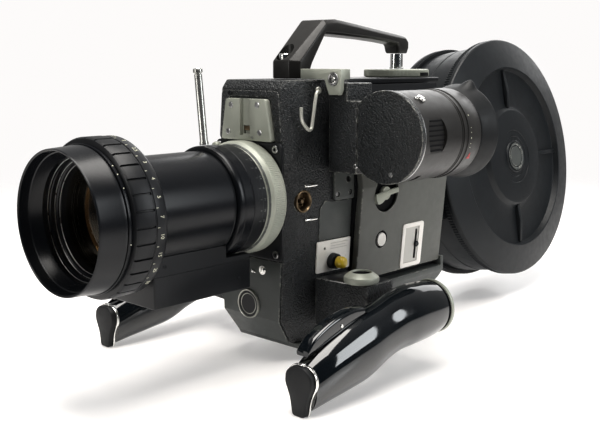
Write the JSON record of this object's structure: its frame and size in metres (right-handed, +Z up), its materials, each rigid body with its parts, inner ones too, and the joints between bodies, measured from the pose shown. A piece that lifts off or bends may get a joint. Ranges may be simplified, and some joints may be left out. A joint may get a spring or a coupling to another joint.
{
  "type": "cine camera",
  "caption": "16 mm cine camera with servo zoom lens, tilting finder, carrying handle, two swivelling hand grips and a coaxial film magazine at the rear.",
  "frame": {"origin": "centre of the base plate's underside, between the two tripod holes, under the lens axis", "axes": "-Y points at the subject along the lens axis, +X is the operator's left, where the finder is, +Z is up"},
  "size_m": [0.2292, 0.5279, 0.2268],
  "materials": {
    "crackle_black": "black wrinkle enamel on cast aluminium, bright where the edges are worn",
    "anodised_black": "black anodised, satin",
    "satin_black": "smooth black paint, satin",
    "gloss_black": "polished black moulded plastic",
    "grey_paint": "dark grey paint, fine matt",
    "side_panel_grey": "warm mid grey paint, fine matt",
    "light_metal": "pale anodised aluminium, bead blasted",
    "chrome": "polished chrome plate",
    "bright_steel": "brushed steel",
    "brass": "dulled brass",
    "pale_plate": "pale satin plate",
    "yellow_plastic": "yellow moulded plastic",
    "rubber": "matt black rubber",
    "coated_glass": "coated optical glass, amber reflections",
    "mirror": "surface-silvered mirror"
  },
  "bodies": {
    "camera": {"front_casting": "crackle_black", "mount_plate": "anodised_black", "front_panel": "grey_paint", "accessory_shoe": "light_metal", "label_plate": "pale_plate", "side_socket": "brass", "tape_hook": "chrome", "film_gate": "bright_steel", "drive_motor": "anodised_black", "body_housing": "anodised_black", "side_cover_left": "side_panel_grey", "side_cover_right": "side_panel_grey", "base_plate": "grey_paint", "top_plate": "anodised_black", "handle": "crackle_black", "handle_screw": "chrome", "handle_pillar": "chrome", "lug_bracket": "light_metal", "finder_arm": "crackle_black", "grip_bracket_left": "crackle_black", "grip_bracket_right": "crackle_black", "lens_barrel": "satin_black", "servo_box": "anodised_black", "servo_motor": "bright_steel"},
    "focus": {"focus_ring": "anodised_black", "front_cell": "satin_black", "front_glass": "coated_glass", "lens_hood": "satin_black"},
    "zoom": {"zoom_ring": "anodised_black", "zoom_lever": "chrome"},
    "pinion": {"servo_pinion": "bright_steel"},
    "iris": {"iris_ring": "anodised_black"},
    "lock_ring": {"lens_lock_ring": "light_metal"},
    "catch": {"lock_catch": "light_metal"},
    "record_key": {"record_button": "yellow_plastic"},
    "release_key": {"release_button": "pale_plate"},
    "latch": {"latch_lever": "light_metal"},
    "slider": {"slider_knob": "anodised_black"},
    "wheel": {"handle_wheel": "light_metal"},
    "finder": {"finder_housing": "anodised_black", "finder_plate": "crackle_black"},
    "diopter": {"diopter_ring": "anodised_black", "eyepiece_glass": "coated_glass"},
    "eyecup": {"eyecup": "rubber"},
    "grip_left": {"grip_left": "gloss_black", "grip_disc_left": "light_metal", "grip_cap_left": "rubber"},
    "grip_right": {"grip_right": "gloss_black", "grip_disc_right": "light_metal", "grip_cap_right": "rubber"},
    "trigger_left": {"trigger_left": "gloss_black"},
    "trigger_right": {"trigger_right": "gloss_black"},
    "knob_left": {"grip_knob_left": "light_metal"},
    "knob_right": {"grip_knob_right": "light_metal"},
    "magazine": {"magazine_case": "anodised_black"},
    "cover_left": {"magazine_cover_left": "satin_black"},
    "cover_right": {"magazine_cover_right": "satin_black"},
    "supply": {"supply_core": "bright_steel"},
    "takeup": {"takeup_core": "bright_steel"},
    "shutter": {"mirror_shutter": "mirror"}
  },
  "joints": [
    {"name": "focus_turn", "type": "hinge", "parent": "camera", "child": "focus", "pos_m": [0, -0.16, 0.1026], "axis": [0, 1, 0], "range_deg": [-150, 150]},
    {"name": "zoom_turn", "type": "hinge", "parent": "camera", "child": "zoom", "pos_m": [0, -0.084, 0.1026], "axis": [0, 1, 0], "range_deg": [-50, 50]},
    {"name": "pinion_turn", "type": "hinge", "parent": "camera", "child": "pinion", "pos_m": [0, -0.085, 0.0609], "axis": [0, 1, 0], "range_deg": [-330, 330]},
    {"name": "iris_turn", "type": "hinge", "parent": "camera", "child": "iris", "pos_m": [0, -0.072, 0.1026], "axis": [0, 1, 0], "range_deg": [-35, 35]},
    {"name": "lock_ring_turn", "type": "hinge", "parent": "camera", "child": "lock_ring", "pos_m": [0, -0.058, 0.1026], "axis": [0, 1, 0], "range_deg": [0, 50]},
    {"name": "catch_press", "type": "slide", "parent": "camera", "child": "catch", "axis": [0, 1, 0], "range_m": [0, 0.0012], "stiffness_N_per_m": 800},
    {"name": "record_press", "type": "slide", "parent": "camera", "child": "record_key", "axis": [-1, 0, 0], "range_m": [0, 0.002], "stiffness_N_per_m": 500},
    {"name": "release_press", "type": "slide", "parent": "camera", "child": "release_key", "axis": [-1, 0, 0], "range_m": [0, 0.002], "stiffness_N_per_m": 500},
    {"name": "latch_turn", "type": "hinge", "parent": "camera", "child": "latch", "pos_m": [0.044, 0.04, 0.0994], "axis": [1, 0, 0], "range_deg": [0, 80]},
    {"name": "slider_move", "type": "slide", "parent": "camera", "child": "slider", "axis": [0.0881, 0, 0.9961], "range_m": [-0.009, 0.009]},
    {"name": "wheel_turn", "type": "hinge", "parent": "camera", "child": "wheel", "pos_m": [0, 0.107, 0.181], "axis": [0, 0, 1], "range_deg": [-180, 180]},
    {"name": "finder_tilt", "type": "hinge", "parent": "camera", "child": "finder", "pos_m": [0.0615, 0, 0.1431], "axis": [1, 0, 0], "range_deg": [-10, 60]},
    {"name": "diopter_turn", "type": "hinge", "parent": "finder", "child": "diopter", "pos_m": [0.083, 0.04, 0.1431], "axis": [0, 1, 0], "range_deg": [-60, 60]},
    {"name": "eyecup_turn", "type": "hinge", "parent": "finder", "child": "eyecup", "pos_m": [0.083, 0.055, 0.1431], "axis": [0, 1, 0], "range_deg": [-180, 180]},
    {"name": "magazine_slide", "type": "slide", "parent": "camera", "child": "magazine", "axis": [0, 1, 0], "range_m": [0, 0.06]},
    {"name": "cover_left_slide", "type": "slide", "parent": "magazine", "child": "cover_left", "axis": [0.9869, 0, 0.1611], "range_m": [0, 0.03]},
    {"name": "cover_right_slide", "type": "slide", "parent": "magazine", "child": "cover_right", "axis": [-0.9869, 0, -0.1611], "range_m": [0, 0.03]},
    {"name": "supply_turn", "type": "hinge", "parent": "magazine", "child": "supply", "pos_m": [0, 0.234, 0.1046], "axis": [0.9869, 0, 0.1611], "continuous": true},
    {"name": "takeup_turn", "type": "hinge", "parent": "magazine", "child": "takeup", "pos_m": [0, 0.234, 0.1046], "axis": [0.9869, 0, 0.1611], "continuous": true},
    {"name": "shutter_turn", "type": "hinge", "parent": "camera", "child": "shutter", "pos_m": [0, 0, 0.084], "axis": [0, 1, 0], "continuous": true},
    {"name": "grip_left_swivel", "type": "hinge", "parent": "camera", "child": "grip_left", "pos_m": [0.0936, 0.009, 0.0306], "axis": [1, 0, 0], "range_deg": [-30, 40]},
    {"name": "trigger_left_pull", "type": "hinge", "parent": "grip_left", "child": "trigger_left", "pos_m": [0.0936, -0.05, 0.039], "axis": [1, 0, 0], "range_deg": [0, 3.5], "stiffness_Nm_per_rad": 3},
    {"name": "knob_left_turn", "type": "hinge", "parent": "camera", "child": "knob_left", "pos_m": [0.0657, -0.0126, 0.0489], "axis": [0, 0, 1], "range_deg": [-180, 180]},
    {"name": "grip_right_swivel", "type": "hinge", "parent": "camera", "child": "grip_right", "pos_m": [-0.0936, 0.009, 0.0306], "axis": [1, 0, 0], "range_deg": [-30, 40]},
    {"name": "trigger_right_pull", "type": "hinge", "parent": "grip_right", "child": "trigger_right", "pos_m": [-0.0936, -0.05, 0.039], "axis": [1, 0, 0], "range_deg": [0, 3.5], "stiffness_Nm_per_rad": 3},
    {"name": "knob_right_turn", "type": "hinge", "parent": "camera", "child": "knob_right", "pos_m": [-0.0657, -0.0126, 0.0489], "axis": [0, 0, 1], "range_deg": [-180, 180]}
  ],
  "couplings": [
    {"joint": "pinion_turn", "follows": "zoom_turn", "ratio": -5.9}
  ]
}
